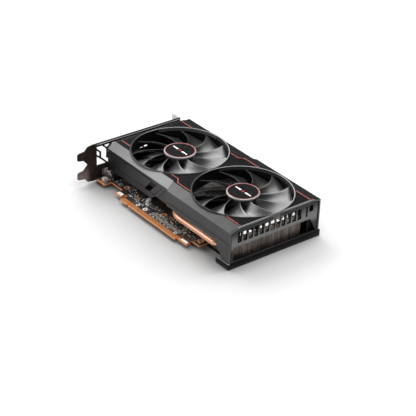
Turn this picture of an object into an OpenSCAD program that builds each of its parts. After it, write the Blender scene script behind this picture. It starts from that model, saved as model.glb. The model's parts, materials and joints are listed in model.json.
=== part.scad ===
// Two-slot graphics card with two axial fans, lying on its back plate.
// Working axes: X runs from the bracket to the tail, Y from the edge connector's lip to the top edge,
// Z from the surface the card lies on up through the fans. place() moves all of it to the part's origin,
// which is under the middle of the card.

/* [Card] */
// Length from the bracket's inner face to the shroud's tail
card_len = 195.4; // [195:0.2:197]
// Height of the fan rings above the surface the card lies on
card_thick = 40; // [40:0.2:41]
// Front wall of the shroud's wide half, from the edge connector's lip
front_y = 11.7; // [11.6:0.1:12]
// Back wall of the shroud's wide half, from the edge connector's lip
back_y = 115.4; // [115:0.1:115.4]
// Thickness of the shroud's walls
wall = 1.8; // [1.6:0.1:2]

/* [Circuit board] */
// Thickness of the board
board_t = 1.6; // [1.5:0.05:1.65]
// Height of the board's component side
board_top = 4.7; // [4.6:0.05:4.8]
// End of the board, from the bracket
board_end = 155.5; // [154:0.5:157]
// Radius of the board's three free holes
board_hole_r = 1.9; // [1.6:0.1:2]

/* [Bracket] */
// Thickness of the bracket's sheet
bracket_t = 0.9; // [0.8:0.05:1]
// Height of the bracket from its lower edge to its upper edge
bracket_w = 39; // [38.8:0.1:39]

/* [Fans] */
// Distance between the two fan axes
fan_pitch = 94.2; // [93.8:0.1:94.4]
// Radius of the opening round each fan
opening_r = 46; // [45.6:0.1:46.2]
// Radius of the blade tips
blade_r = 44.6; // [43.5:0.1:45]
// Radius of the hub
hub_r = 15.2; // [14.8:0.1:15.5]
// Number of blades on each fan
blades = 11; // [7:1:13]
// How far a blade's leading edge sweeps round between hub and tip, in degrees
blade_sweep = 23; // [15:1:28]
// Radius of the fan shaft
shaft_r = 1; // [0.9:0.05:1.2]
// Radial running clearance of the shaft in its sleeve
shaft_gap = 0.03; // [0.02:0.01:0.08]

/* [Cooler] */
// Spacing of the fins
fin_pitch = 1.8; // [1.7:0.05:2]
// Number of fins
fin_count = 43; // [38:1:43]
// Thickness of a fin
fin_t = 0.35; // [0.3:0.05:0.5]
// Radius of the heat pipes
pipe_r = 3; // [2.8:0.1:3.2]

/* [Hidden] */
$fn = 64;
eps = 0.01;

// fans
fan_x = [53.7, 53.7 + fan_pitch];
fan_y = 64.3;
fan_turn = [11, 6.8];          // rest angle of each rotor
ring_t = 1.3;                  // wall of the ring round each opening
ring_low = 27.4;
seat_low = 24.6;               // underside of the fan frames
seat_top = 26.4;
strut_top = 26.8;
ear_r = 51;                    // distance of the frame's screw ears from the fan axis
rotor_low = 28;
hub_top = 39.6;
magnet_r = 12.9;
badge_r = 13.65;

// shroud
narrow = 1.9;                  // how far the narrow half's walls stand in from the wide half's
shroud_x0 = 5;
shroud_top = 39.5;
bevel_z = 36.5;                // lower edge of the front bevel
front_flat = 23;               // where the flat top begins
back_flat = 105.6;
panel_t = 0.9;
tail_x = card_len - 2.6;       // inner face of the tail
foot_z = 1.3;                  // lowest point of the shroud's legs
baffle_y = 61.5;               // where the wall that half closes the bracket's end begins
sill_z = [13, 23.8];           // low wall that runs on from it to the front
slot_count = 12;
slot_pitch = 6.18;
slot_w = 4.6;
slot_y0 = 21.1;
slot_z = [23.9, 34.4];
// each slot of the tail: its side towards the front, its width and its lower edge
tail_slots = concat([for (i = [0 : slot_count - 1]) [slot_y0 + slot_pitch * i, slot_w, slot_z[0]]],
    [[99.1, 1.9, slot_z[0]], [102.9, 4.6, slot_z[0] + 4.2]]);
end_wall_x = 184;              // wall that closes the tail's corner beside the fins

// board
board_low = board_top - board_t;
board_back = 109;
bracket_screw = [[8.9, 9.4], [8.9, 90]];
free_hole = [[34.1, 17.6], [94.3, 16.5], [149.4, 16.7]];
tongue = [48, 132.7];
key = [59.15, 61.05];
post = [[13.6, 21.6], [11.5, 103], [98, 106.4]];   // shroud posts that stand on the board
tail_post = [[188.4, 17.4], [188.4, 109.6]];
post_r = 3;

// cooler
gpu = [96, 60];
cooler_hole = 26.6;            // half the spacing of the cooler's screws
cold_low = 6.95;
plate_top = 9.2;
block_top = 13.7;
fin_x = [20, 190];
fin_y0 = 21.65;
short_fins = 4;                // fins at the front that end short of the front wall's window
short_x = 92;
tab_x1 = 181.5;                // where the strip that joins the fins' upper edges at the tail begins
fin_top = 22.8;
fin_foot = 2.2;                // lower edge of the fins past the end of the board
pipe_z = 10.6;
pipe_bend = 16;
pipe_x = [99, 91];             // where each pipe lies in the cold plate
pipe_y = [fin_y0 - pipe_r - 0.05, fin_y0 + (fin_count - 1) * fin_pitch + fin_t + pipe_r + 0.05];
pipe_end = 166;

// back plate
plate_t = 1.2;
lip_t = 0.8;
lip_z = 6;
lip_x = 178.6;
plate_front = 21;
plate_end = card_len + 1;

// ports
port_top = 10.8;
hdmi = [13.2, 28.2];
dport = [42, 58.2];
inlet = [124, 138];            // power inlet, along X
inlet_y = [104.3, 114.6];
header_x = [84, 112];
header_y = 106.3;

// size of the whole card, for its origin
tab_x = -11.4 - bracket_t;
tab_y = -15.2;
origin = [(tab_x + plate_end) / 2, (tab_y + back_y + 1) / 2];

// ---------- helpers ----------

module place() translate([-origin[0], -origin[1], 0]) children();

module box(low, high) translate(low) cube(high - low);

module at(p, z = 0) translate([p[0], p[1], z]) children();

module at_fan(i) translate([fan_x[i], fan_y, 0]) children();

// an outline in X and Y, standing from z0 to z1
module slab(z0, z1) translate([0, 0, z0]) linear_extrude(z1 - z0) children();

// an outline in X and Z, reaching from y0 to y1
module across(y0, y1) translate([0, y1, 0]) rotate([90, 0, 0]) linear_extrude(y1 - y0) children();

// an outline in Y and Z, reaching from x0 to x1
module along(x0, x1) translate([x0, 0, 0]) rotate([90, 0, 90]) linear_extrude(x1 - x0) children();

module tube(r_out, r_in, z0, z1) translate([0, 0, z0]) difference() {
    cylinder(r = r_out, h = z1 - z0);
    translate([0, 0, -1]) cylinder(r = r_in, h = z1 - z0 + 2);
}

// a straight strip of width w from point a to point b
module strip(a, b, w) {
    d = b - a;
    translate(a) rotate(atan2(d[1], d[0])) translate([-w / 2, -w / 2]) square([norm(d) + w, w]);
}

module strip_path(points, w) for (i = [0 : len(points) - 2]) strip(points[i], points[i + 1], w);

// ---------- circuit board ----------

module board_outline() polygon([
    [4.6, 3.6], [17.4, 3.6], [17.4, 12], [35.4, 12], [35.4, 3.4], [44.4, 3.4], [44.4, 8.6],
    [tongue[0], 8.6], [tongue[0], 0.8], [tongue[0] + 0.8, 0],
    [key[0], 0], [key[0], 7.4], [key[1], 7.4], [key[1], 0],
    [tongue[1] - 0.8, 0], [tongue[1], 0.8], [tongue[1], 8.6], [134.2, 8.6], [134.2, 2.4],
    [147.2, 2.4], [147.2, 6.9], [144.6, 6.9], [144.6, 10.4], [board_end, 10.4],
    [board_end, board_back], [4.6, board_back]]);

module pcb() color("#1d1a18") slab(board_low, board_top) difference() {
    board_outline();
    for (p = free_hole) translate(p) circle(r = board_hole_r);
    for (p = bracket_screw) translate(p) circle(r = 1.7);
    for (p = post) translate(p) circle(r = 1.6);
    for (sx = [-1, 1], sy = [-1, 1])
        translate(gpu + cooler_hole * [sx, sy]) circle(r = 1.6);
}

// the contacts stand on both faces of the tongue, 1 mm apart
module edge_contacts() color("#d98a3a") {
    first = [for (i = [0 : 9]) tongue[0] + 1 + i];
    rest = [for (i = [0 : 69]) key[1] + 0.9 + i];
    for (x = concat(first, rest), z = [board_low - 0.05, board_top])
        box([x - 0.35, 0.5, z], [x + 0.35, 4.6, z + 0.05]);
}

module hole_rings() color("#c9622c") {
    for (p = free_hole) at(p) tube(3.2, board_hole_r, board_top, board_top + 0.05);
    at(bracket_screw[0]) tube(3.5, 2.7, board_top, board_top + 0.05);
}

module gpu_substrate() color("#274a3a")
    box([gpu[0] - 15, gpu[1] - 15, board_top], [gpu[0] + 15, gpu[1] + 15, 6]);

module gpu_die() color("#8f9499")
    box([gpu[0] - 6.5, gpu[1] - 4.5, 6], [gpu[0] + 6.5, gpu[1] + 4.5, 6.8]);

module thermal_paste() color("#b9bcc0")
    box([gpu[0] - 7, gpu[1] - 5, 6.8], [gpu[0] + 7, gpu[1] + 5, cold_low]);

function memory_at(sx, sy) = [gpu[0] + 24 * sx, gpu[1] + 9 * sy];

module memory_chips() color("#202124") for (sx = [-1, 1], sy = [-1, 1])
    at(memory_at(sx, sy), board_top) translate([-6, -7, 0]) cube([12, 14, 1.1]);

module memory_pads() color("#9aa7b8") for (sx = [-1, 1], sy = [-1, 1])
    at(memory_at(sx, sy), board_top + 1.1) translate([-5.5, -6.5, 0])
        cube([11, 13, cold_low - board_top - 1.1]);

module power_inductors() color("#4a4a4c") for (i = [0 : 4])
    box([36, 35 + 11 * i, board_top], [43, 42 + 11 * i, board_top + 4.2]);

module power_mosfets() color("#242427") for (i = [0 : 4], j = [0, 1])
    box([47 + 7.5 * j, 35.5 + 11 * i, board_top], [52 + 7.5 * j, 41.5 + 11 * i, board_top + 0.9]);

can_at = [[71, 16.2], [30.5, 38.5], [30.5, 49.5], [30.5, 60.5], [30.5, 71.5], [148, 60], [148, 50]];

module can_capacitors() color("#b8b8ba") for (p = can_at) at(p, board_top) {
    translate([-2.4, -2.4, 0]) cube([4.8, 4.8, 0.8]);
    cylinder(r = 2.3, h = 5.6);
}

chip_at = [[56, 21, 5], [29, 24, 4], [83, 12.2, 3.4], [139, 20, 5], [118, 17.8, 3.2], [148, 76, 6]];

module controller_chips() color("#232326") for (c = chip_at)
    box([c[0] - c[2] / 2, c[1] - c[2] / 2, board_top],
        [c[0] + c[2] / 2, c[1] + c[2] / 2, board_top + 0.95]);

// rows of coupling capacitors behind the edge contacts, and loose parts further in
module small_components() color("#b9b2a6") {
    for (i = [0 : 19], j = [0, 1]) translate([86 + 2.2 * i, 7.2 + 2.1 * j, board_top])
        cube([0.8, 1.6, 0.7]);
    for (i = [0 : 6], j = [0 : 2]) translate([47.5 + 2.6 * i, 12 + 2.4 * j, board_top])
        cube([1.6, 0.8, 0.7]);
    for (i = [0 : 4]) translate([20 + 2.4 * i, 13.6, board_top]) cube([0.8, 1.6, 0.8]);
    for (i = [0 : 7]) translate([122 + 2.6 * i, 12.4, board_top]) cube([1.6, 0.8, 0.7]);
}

// ---------- connectors ----------

module port_shell(y) difference() {
    box([-bracket_t - 0.4, y[0], board_top], [10.3, y[1], port_top]);
    box([-bracket_t - 2, y[0] + 0.4, board_top + 0.4], [9.9, y[1] - 0.4, port_top - 0.4]);
}

module port_insert(y, low) {
    box([8.4, y[0] + 0.5, board_top + 0.5], [9.8, y[1] - 0.5, port_top - 0.5]);
    box([0.6, y[0] + 2, low], [8.4, y[1] - 2, low + 1.9]);
}

module hdmi_shell() color("#8d8a86") port_shell(hdmi);

module hdmi_insert() color("#1b1b1c") port_insert(hdmi, board_top + 2.1);

module displayport_shell() color("#8d8a86") port_shell(dport);

module displayport_insert() color("#1b1b1c") port_insert(dport, board_top + 2.6);

inlet_cell = 4.2;

module inlet_cells(r) for (i = [0 : 2], j = [0, 1])
    translate([inlet[0] + 2.8 + inlet_cell * i, 0, board_top + 2.7 + inlet_cell * j]) children();

module power_inlet() color("#1a1a1b") difference() {
    union() {
        box([inlet[0], inlet_y[0], board_top], [inlet[1], inlet_y[1], board_top + 9.6]);
        box([inlet[0] + 4.5, inlet_y[0] + 4, board_top + 9.6],
            [inlet[1] - 4.5, inlet_y[1], board_top + 10.8]);
    }
    inlet_cells() translate([-1.75, inlet_y[0] + 2, -1.75]) cube([3.5, 20, 3.5]);
}

module power_pins() color("#c9a24a")
    inlet_cells() translate([-0.5, inlet_y[0] + 2, -0.5]) cube([1, 7, 1]);

module fan_headers() color("#e4e1da") for (x = header_x) difference() {
    box([x - 5.2, header_y - 2.3, board_top], [x + 5.2, header_y + 2.3, board_top + 4.4]);
    box([x - 4.6, header_y - 1.7, board_top + 0.8], [x + 4.6, header_y + 1.7, board_top + 6]);
}

plug_low = board_top + 0.9;
plug_top = board_top + 6.6;

module fan_plugs() color("#23211f") for (x = header_x)
    box([x - 4.5, header_y - 1.6, plug_low], [x + 4.5, header_y + 1.6, plug_top]);

// ---------- fan leads ----------

lead_r = 0.6;
lead_sides = 8;

// the points each lead follows, from its drive board to the top of its plug
lead_1 = [[59.3, 74.7, 27.1], [60.9, 76.6, 27.1], [62.4, 78.3, 26.2], [64, 79.9, 25.7],
    [68, 83.9, 25.7], [72, 87.9, 25.7], [76, 91.9, 25.7], [80, 95.9, 25.7], [82.6, 98.6, 25.7],
    [84, 101, 25.5], [84.6, 103.4, 24.6], [84.5, 105.2, 22.6], [84.2, 106.1, 19.4],
    [84, header_y, 15], [84, header_y, plug_top]];
lead_2 = [[142.3, 74.7, 27.1], [140.7, 76.6, 27.1], [139.2, 78.3, 26.2], [137.6, 79.9, 25.7],
    [133.6, 83.9, 25.7], [129.6, 87.9, 25.7], [125.6, 91.9, 25.7], [121.6, 95.9, 25.7],
    [119, 98.6, 25.7], [117.2, 101, 25.5], [115.4, 103.4, 24.6], [113.7, 105.1, 22.6],
    [112.5, 106.1, 19.4], [112, header_y, 15], [112, header_y, plug_top]];

function unit(v) = v / norm(v);

// direction of the route at point i
function heading(p, i) = unit(p[min(i + 1, len(p) - 1)] - p[max(i - 1, 0)]);

// one ring of points round point i, in axes square to the route
function lead_ring(p, i) =
    let (t = heading(p, i), s = unit(cross(t, [0.35, -0.4, 0.3])), u = cross(t, s))
    [for (k = [0 : lead_sides - 1])
        p[i] + lead_r * (s * cos(360 * k / lead_sides) + u * sin(360 * k / lead_sides))];

module lead(p) {
    n = lead_sides;
    last = n * (len(p) - 1);
    points = [for (i = [0 : len(p) - 1]) each lead_ring(p, i)];
    sides = [for (i = [0 : len(p) - 2], k = [0 : n - 1])
        let (a = n * i + k, b = n * i + (k + 1) % n) each [[a, a + n, b + n], [a, b + n, b]]];
    ends = [[for (k = [0 : n - 1]) k], [for (k = [0 : n - 1]) last + n - 1 - k]];
    polyhedron(points, concat(sides, ends));
}

module fan_1_lead() color("#151414") lead(lead_1);

module fan_2_lead() color("#151414") lead(lead_2);

// ---------- bracket ----------

bracket_low = card_thick - bracket_w;
bracket_mid = card_thick - bracket_w / 2;
bracket_y1 = 105.1;

// half of the outline, above the middle; the other half mirrors it
half_outline = [[bracket_y1, 19.5], [1.6, 19.5], [-3.8, 18.6], [-7.2, 14.8], [-13.8, 14],
    [tab_y, 12.8], [tab_y, 7.4], [-14, 6.1], [-8.6, 5.3], [-3.8, 0]];

module bracket_outline() translate([0, bracket_mid]) polygon(concat(half_outline,
    [for (i = [len(half_outline) - 2 : -1 : 0]) [half_outline[i][0], -half_outline[i][1]]]));

vent_z = [16.4, 36];
vent_y = [6.6, 98];
cell = 23.5;

bar_w = 1.8;

// bars that cross the vents: a slanted lattice, repeated along the bracket
module vent_bars() for (i = [0 : 3]) translate([vent_y[0] + cell * i, 0]) {
    strip_path([[-1, 34.6], [4.2, 29.4], [4.2, 23.6], [-1, 27.6]], bar_w);
    strip_path([[4.2, 23.6], [12.2, 16]], bar_w);
    strip_path([[6.6, 36.6], [12, 31.4], [12, 22.6], [19.4, 16]], bar_w);
    strip_path([[12, 31.4], [17.4, 36.6]], bar_w);
    strip_path([[12, 22.6], [19.6, 29.6], [23.4, 33.2]], bar_w);
}

module bracket_plate() along(-bracket_t, 0) difference() {
    bracket_outline();
    difference() {
        translate([vent_y[0], vent_z[0]])
            square([vent_y[1] - vent_y[0], vent_z[1] - vent_z[0]]);
        vent_bars();
    }
    for (y = [hdmi, dport]) translate([y[0] - 0.3, board_top - 0.3])
        square([y[1] - y[0] + 0.6, port_top - board_top + 0.6]);
}

notch_r = 2.2;
notch_x = tab_x + 5.1;
notch_z = [bracket_low + 9.34, bracket_low + 29.66];

// a slot that runs along Z, rounded at both ends
module notch(z) {
    for (s = [-1, 1]) translate([notch_x, z + s * 1.4]) circle(r = notch_r);
    translate([notch_x - notch_r, z - 1.4]) square([2 * notch_r, 2.8]);
}

// the flange that a chassis screws down
module screw_flange() difference() {
    box([tab_x, bracket_y1 - bracket_t, bracket_low], [0, bracket_y1, card_thick]);
    for (z = notch_z) across(100, 110) notch(z);
}

module io_bracket() color("#3a3230") {
    bracket_plate();
    screw_flange();
    for (p = bracket_screw) difference() {
        box([-bracket_t, p[1] - 5, board_low - bracket_t], [p[0] + 4, p[1] + 5, board_low]);
        at(p) cylinder(r = 1.5, h = 20, center = true);
    }
}

module bracket_screws() color("#d9dadc") for (p = bracket_screw) at(p) {
    translate([0, 0, board_low - bracket_t]) cylinder(r = 1.45, h = board_t + bracket_t);
    difference() {
        translate([0, 0, board_top]) cylinder(r = 2.6, h = 1.5);
        for (turn = [0, 90]) rotate(turn) box([-1.6, -0.3, board_top + 0.7], [1.6, 0.3, 10]);
    }
}

// ---------- back plate ----------

module backplate_outline() polygon([
    [7, 14], [18, 14], [21, plate_front], [lip_x, plate_front], [lip_x, front_y - 1],
    [plate_end, front_y - 1], [plate_end, back_y + 1], [109, back_y + 1],
    [104, back_y - narrow], [7, back_y - narrow]]);

module backplate() color("#151516") difference() {
    union() {
        slab(0, plate_t) backplate_outline();
        box([lip_x, front_y - 1, 0], [plate_end, front_y - 1 + lip_t, lip_z]);
        box([lip_x, back_y + 1 - lip_t, 0], [plate_end, back_y + 1, lip_z]);
        box([plate_end - lip_t, front_y - 1, 0], [plate_end, back_y + 1, lip_z]);
    }
    for (p = concat(post, tail_post)) at(p) {
        cylinder(r = 1.5, h = 9, center = true);
        translate([0, 0, -eps]) cylinder(r1 = 2.7, r2 = 1.5, h = plate_t);
    }
    for (sx = [-1, 1], sy = [-1, 1])
        at(gpu + cooler_hole * [sx, sy]) cylinder(r = 3.8, h = 9, center = true);
}

module board_spacers() color("#8a8d90") for (p = post) at(p) tube(3, 1.5, plate_t, board_low);

// countersunk screws: through back plate, spacer and board into a post of the shroud
module card_screws() color("#2a2a2c") for (p = concat(post, tail_post)) at(p) difference() {
    union() {
        translate([0, 0, 0.15]) cylinder(r1 = 2.5, r2 = 1.2, h = plate_t - 0.15);
        translate([0, 0, 0.2]) cylinder(r = 1.2, h = 9.8);
    }
    for (turn = [0, 90]) rotate(turn) box([-1.4, -0.25, -1], [1.4, 0.25, 0.6]);
}

// ---------- cooler ----------

module cold_plate() color("#b0703f") difference() {
    union() {
        box([gpu[0] - 32, gpu[1] - 25, cold_low], [gpu[0] + 32, gpu[1] + 25, plate_top]);
        box([gpu[0] - 22, gpu[1] - 22, plate_top], [gpu[0] + 22, gpu[1] + 22, block_top]);
        for (sx = [-1, 1], sy = [-1, 1]) at(gpu + cooler_hole * [sx, sy]) {
            box([-4.6, -4.6, cold_low], [4.6, 4.6, plate_top]);
            translate([0, 0, board_top]) cylinder(r = 3, h = 3);
        }
    }
    for (x = pipe_x) translate([x, gpu[1], pipe_z]) rotate([90, 0, 0])
        cylinder(r = pipe_r + 0.03, h = 80, center = true);
    for (sx = [-1, 1], sy = [-1, 1])
        at(gpu + cooler_hole * [sx, sy], board_top - 1) cylinder(r = 1.25, h = 4.6);
}

// one pipe: straight through the cold plate, a quarter bend, then straight along the fins
// side is -1 for the pipe in front of the fins and 1 for the one behind them
module heat_pipe(x, y, side) {
    centre_y = y - side * pipe_bend;
    start = gpu[1] - side * 30;
    translate([x, min(start, centre_y), pipe_z]) rotate([-90, 0, 0])
        cylinder(r = pipe_r, h = abs(start - centre_y));
    translate([x + pipe_bend, centre_y, pipe_z]) rotate([0, 0, side > 0 ? 90 : 180])
        rotate_extrude(angle = 90) translate([pipe_bend, 0]) circle(r = pipe_r);
    translate([x + pipe_bend, y, pipe_z]) rotate([0, 90, 0])
        cylinder(r = pipe_r, h = pipe_end - x - pipe_bend);
    translate([pipe_end, y, pipe_z]) rotate([0, 90, 0]) cylinder(r1 = pipe_r, r2 = 1, h = 4);
    translate([x, start, pipe_z]) rotate([side * 90, 0, 0]) cylinder(r1 = pipe_r, r2 = 1, h = 3);
}

module heat_pipes() color("#e58b5e") {
    heat_pipe(pipe_x[0], pipe_y[0], -1);
    heat_pipe(pipe_x[1], pipe_y[1], 1);
}

// thin upright plates, joined by short tabs at three places along their length
module fin_stack() color("#a39a92") {
    step = board_end + 3;
    low = block_top;
    depth = (fin_count - 1) * fin_pitch + fin_t;
    for (i = [0 : fin_count - 1]) {
        y = fin_y0 + fin_pitch * i;
        start = i < short_fins ? short_x : fin_x[0];
        across(y, y + fin_t) polygon([[start, low], [step, low], [step, fin_foot],
            [fin_x[1], fin_foot], [fin_x[1], fin_top], [start, fin_top]]);
    }
    for (x = [fin_x[0] + 4, gpu[0] - 8, gpu[0] + 4, step - 6])
        box([x, fin_y0 + (x < short_x ? short_fins * fin_pitch : 0), low],
            [x + 4, fin_y0 + depth, low + 0.4]);
    box([fin_x[0] + 4, fin_y0 + short_fins * fin_pitch, fin_top - 0.4],
        [fin_x[0] + 6.5, fin_y0 + depth, fin_top]);
    box([tab_x1, fin_y0, fin_top - 0.4], [tab_x1 + 3.5, fin_y0 + depth, fin_top]);
}

// ---------- cooler screws ----------

module cooler_screws() color("#c9cacc") for (sx = [-1, 1], sy = [-1, 1])
    at(gpu + cooler_hole * [sx, sy]) difference() {
        union() {
            translate([0, 0, 0.3]) cylinder(r = 3.2, h = 1);
            translate([0, 0, 1.3]) cylinder(r = 1.2, h = 6.2);
        }
        for (turn = [0, 90]) rotate(turn) box([-1.7, -0.3, -1], [1.7, 0.3, 0.8]);
    }

// short wave springs between the screw heads and the board
module cooler_springs() color("#9fa2a6") for (sx = [-1, 1], sy = [-1, 1], turn = [0 : 2])
    at(gpu + cooler_hole * [sx, sy], 1.3 + 0.3 + 0.6 * turn)
        rotate_extrude() translate([2.3, 0]) circle(r = 0.3, $fn = 16);

// ---------- shroud ----------

// section of a half of the shroud across its length: inset narrows it at front and back
module section(inset, thick) {
    top = shroud_top - thick;
    polygon([[front_y + inset + thick, foot_z - thick], [front_y + inset + thick, bevel_z - thick],
        [front_flat + inset * 0.55 + thick * 0.15, top], [back_flat - inset - thick * 0.15, top],
        [back_y - inset - thick, bevel_z + 1 - thick], [back_y - inset - thick, foot_z - thick]]);
}

// plan of the line where the narrow half gives way to the wide half
split = [[107.5, 6], [99.2, 21], [99.2, 108], [109.4, 120]];

module narrow_plan() polygon(concat([[8.2, 6]], split,
    [[shroud_x0, 120], [shroud_x0, 20.5], [8.2, 13.6]]));

module wide_plan() polygon(concat(split, [[card_len, 120], [card_len, 6]]));

module half_shell(inset, thick, x0, x1) intersection() {
    along(x0, x1) section(inset, thick);
    slab(-5, 50) children();
}

module shell_outside() {
    half_shell(narrow, 0, 0, 112) narrow_plan();
    half_shell(0, 0, 90, card_len) wide_plan();
}

// the hollow stops at the tail, and runs out at the bracket's end
module shell_inside() {
    along(-1, tail_x) section(narrow, wall);
    half_shell(0, wall, 90, tail_x) translate([wall, 0]) wide_plan();
}

// what is cut away below the front wall, seen from the front
front_cut = [[-5, -5], [-5, 15.6], [78, 15.6], [84.5, 20.6], [175.8, 20.6], [179.2, 15.8],
    [185.4, 7], [185.4, -5]];
back_cut = [[-5, -5], [-5, 6], [inlet[0] - 3, 6], [inlet[0] - 1.2, 17], [inlet[1] + 1.2, 17],
    [inlet[1] + 3, 6], [179, 6], [183, -5]];
window = [[67.6, 21.6], [75.6, 21.6], [86.6, 33.2], [78.4, 33.2]];

module front_groove(points, w, y, depth) across(y - 2, y + depth) strip_path(points, w);

module front_details() {
    y = front_y + narrow;
    front_groove([[4, 33.9], [78, 33.9]], 1.1, y, 0.9);
    front_groove([[4, 22], [67, 22]], 0.6, y, 0.6);
    front_groove([[67, 21.2], [82.8, 21.2], [94.6, 33.4]], 0.6, y, 0.5);
    front_groove([[88, 20.4], [92.3, 25], [99.4, 33.4]], 0.6, y, 0.5);
    across(y - 3, y + 4) polygon(window);
    front_groove([[92.6, 25], [card_len + 2, 25]], 0.6, front_y, 0.6);
}

// the inner border of the tail, set back from its rim
module tail_border(inset) polygon([[front_y + inset, 7], [front_y + inset, bevel_z - inset * 0.8],
    [front_flat, shroud_top - inset], [back_flat, shroud_top - inset],
    [back_y - inset, bevel_z + 1 - inset * 0.8], [back_y - inset, 7]]);

module tail_cuts() {
    along(card_len - 0.5, card_len + 1) tail_border(1.6);
    along(card_len - 1.4, card_len + 1) difference() {
        tail_border(1.6);
        tail_border(2.5);
    }
    along(tail_x - 1, card_len + 1) polygon([[16.8, 6.6], [17.4, 20.2], [104.6, 20.2], [112.2, 6.6]]);
}

// the upper row of slots, cut right through the wall of the second fan's ring
module slot_cuts() for (s = tail_slots)
    box([tail_x - 3, s[0], s[2]], [card_len + 1, s[0] + s[1], slot_z[1]]);

module posts() {
    for (p = post) at(p, board_top) cylinder(r = post_r, h = shroud_top - 1 - board_top);
    for (p = tail_post) at(p, foot_z) cylinder(r = post_r, h = shroud_top - 1 - foot_z);
    for (i = [0, 1], a = [45 : 90 : 315]) at_fan(i) rotate(a)
        translate([ear_r, 0, strut_top]) cylinder(r = post_r, h = shroud_top - 1 - strut_top);
}

module shroud() color("#6d6e70") difference() {
    union() {
        difference() {
            shell_outside();
            shell_inside();
            across(-5, 40) polygon(front_cut);
            across(100, 125) polygon(back_cut);
            front_details();
            tail_cuts();
        }
        intersection() {
            union() {
                posts();
                for (i = [0, 1]) at_fan(i) translate([0, 0, ring_low])
                    cylinder(r = opening_r + ring_t, h = card_thick - ring_low);
                box([shroud_x0, front_y + narrow, sill_z[0]], [shroud_x0 + 4, 22.5, sill_z[1]]);
            }
            union() {
                shell_outside();
                for (i = [0, 1]) at_fan(i) translate([0, 0, bevel_z - 1])
                    cylinder(r = opening_r + ring_t, h = 20);
            }
        }
        box([tail_x - 4, 103.4, foot_z], [tail_x, 104.8, 21]);
        box([end_wall_x, 98, foot_z], [end_wall_x + 1.5, back_y - 1, 22]);
        box([shroud_x0, baffle_y, sill_z[0]], [shroud_x0 + 1.6, back_y - narrow - 1, shroud_top - 1]);
        box([shroud_x0, 22, sill_z[0]], [shroud_x0 + 1.6, baffle_y + 1, sill_z[1]]);
    }
    slot_cuts();
    for (i = [0, 1]) at_fan(i) translate([0, 0, ring_low - 5]) cylinder(r = opening_r, h = 40);
    slab(shroud_top - panel_t, 50) difference() {
        panel_outline(0);
        for (i = [0, 1]) translate([fan_x[i], fan_y]) circle(r = opening_r + ring_t);
    }
    for (p = concat(post, tail_post)) at(p, -1) cylinder(r = 1.25, h = 12);
    for (i = [0, 1], a = [45 : 90 : 315]) at_fan(i) rotate(a)
        translate([ear_r, 0, strut_top - 5]) cylinder(r = 1.25, h = 13);
}

// ---------- top panels and accent strips ----------

module panel_outline(gap) polygon([
    [shroud_x0 + 1.6 + gap, 24.4 + gap], [97, 24.4 + gap], [99.4, 23.4 + gap],
    [card_len - 1.6 - gap, 23.4 + gap], [card_len - 1.6 - gap, back_flat - 0.4 - gap],
    [99.4, back_flat - 0.4 - gap], [97, back_flat - 2.2 - gap],
    [shroud_x0 + 1.6 + gap, back_flat - 2.2 - gap]]);

strip_w = 0.65;
strip_z = shroud_top - 0.5;
accents = [
    [[shroud_x0 + 2.4, 30.3], [30, 30.3]],
    [[78, 29.9], [96.8, 29.9], [102.4, 25.2], [132, 25.2]],
    [[166, 24.6], [card_len - 2.2, 24.6]],
    [[shroud_x0 + 2.4, 101.6], [30, 101.6]],
    [[78, 100.4], [96.2, 100.4], [100.4, 104.4], [132, 104.4]],
    [[166, 104.4], [card_len - 2.2, 104.4]]];
panel_lines = [
    [[92, 36.8], [112, 36.8]], [[92, 91.6], [112, 91.6]], [[182, 37.4], [card_len - 3, 37.4]],
    [[182, 91.2], [card_len - 3, 91.2]], [[84, 97.4], [95.4, 97.4]]];

module outside_rings() for (i = [0, 1]) translate([fan_x[i], fan_y])
    circle(r = opening_r + ring_t + 0.05);

module top_panels() color("#161617") difference() {
    slab(shroud_top - panel_t, shroud_top) difference() {
        panel_outline(0.05);
        outside_rings();
    }
    slab(strip_z, 50) for (a = accents) strip_path(a, strip_w);
    slab(shroud_top - 0.25, 50) for (a = panel_lines) strip_path(a, 0.35);
}

module accent_strips() color("#c2504c") slab(strip_z, shroud_top + 0.1) difference() {
    for (a = accents) strip_path(a, strip_w);
    outside_rings();
}

// ---------- fans, drawn about their own axis ----------

module fan_frame() color("#1c1c1d") {
    tube(4, 2.5, seat_low + 0.6, 36);
    translate([0, 0, seat_low]) cylinder(r = 4, h = 0.6);
    tube(14, 3.9, seat_low, seat_top);
    for (a = [45 : 90 : 315]) rotate(a) {
        box([13.5, -2.4, seat_low], [ear_r - 3, 2.4, strut_top]);
        translate([ear_r, 0, 0]) tube(3.6, 1.5, seat_low, strut_top);
    }
}

module fan_screws() color("#2a2a2c") for (a = [45 : 90 : 315]) rotate(a)
    translate([ear_r, 0, 0]) difference() {
        union() {
            translate([0, 0, seat_low - 1.4]) cylinder(r = 2.4, h = 1.4);
            translate([0, 0, seat_low]) cylinder(r = 1.2, h = 8);
        }
        for (turn = [0, 90]) rotate(turn) box([-1.5, -0.3, 0], [1.5, 0.3, seat_low - 0.8]);
    }

module fan_sleeve() color("#a98a4e") tube(2.5, shaft_r + shaft_gap, seat_low + 0.6, 36.2);

stator_r = 11.3;

module fan_stator() color("#77797c") difference() {
    union() {
        translate([0, 0, 29.4]) cylinder(r = 6, h = 5.6);
        for (a = [0 : 90 : 270]) rotate(a) {
            box([5, -1.6, 29.4], [10, 1.6, 35]);
            intersection() {
                tube(stator_r, 9.6, 29.4, 35);
                box([0, -6.4, 29], [20, 6.4, 36]);
            }
        }
    }
    translate([0, 0, 20]) cylinder(r = 4.02, h = 20);
}

module fan_coils() color("#b4622f") for (a = [0 : 90 : 270]) rotate(a) difference() {
    box([6.2, -3.2, 28.4], [8.9, 3.2, 36]);
    box([6, -1.62, 29.38], [9.6, 1.62, 35.02]);
}

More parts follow.
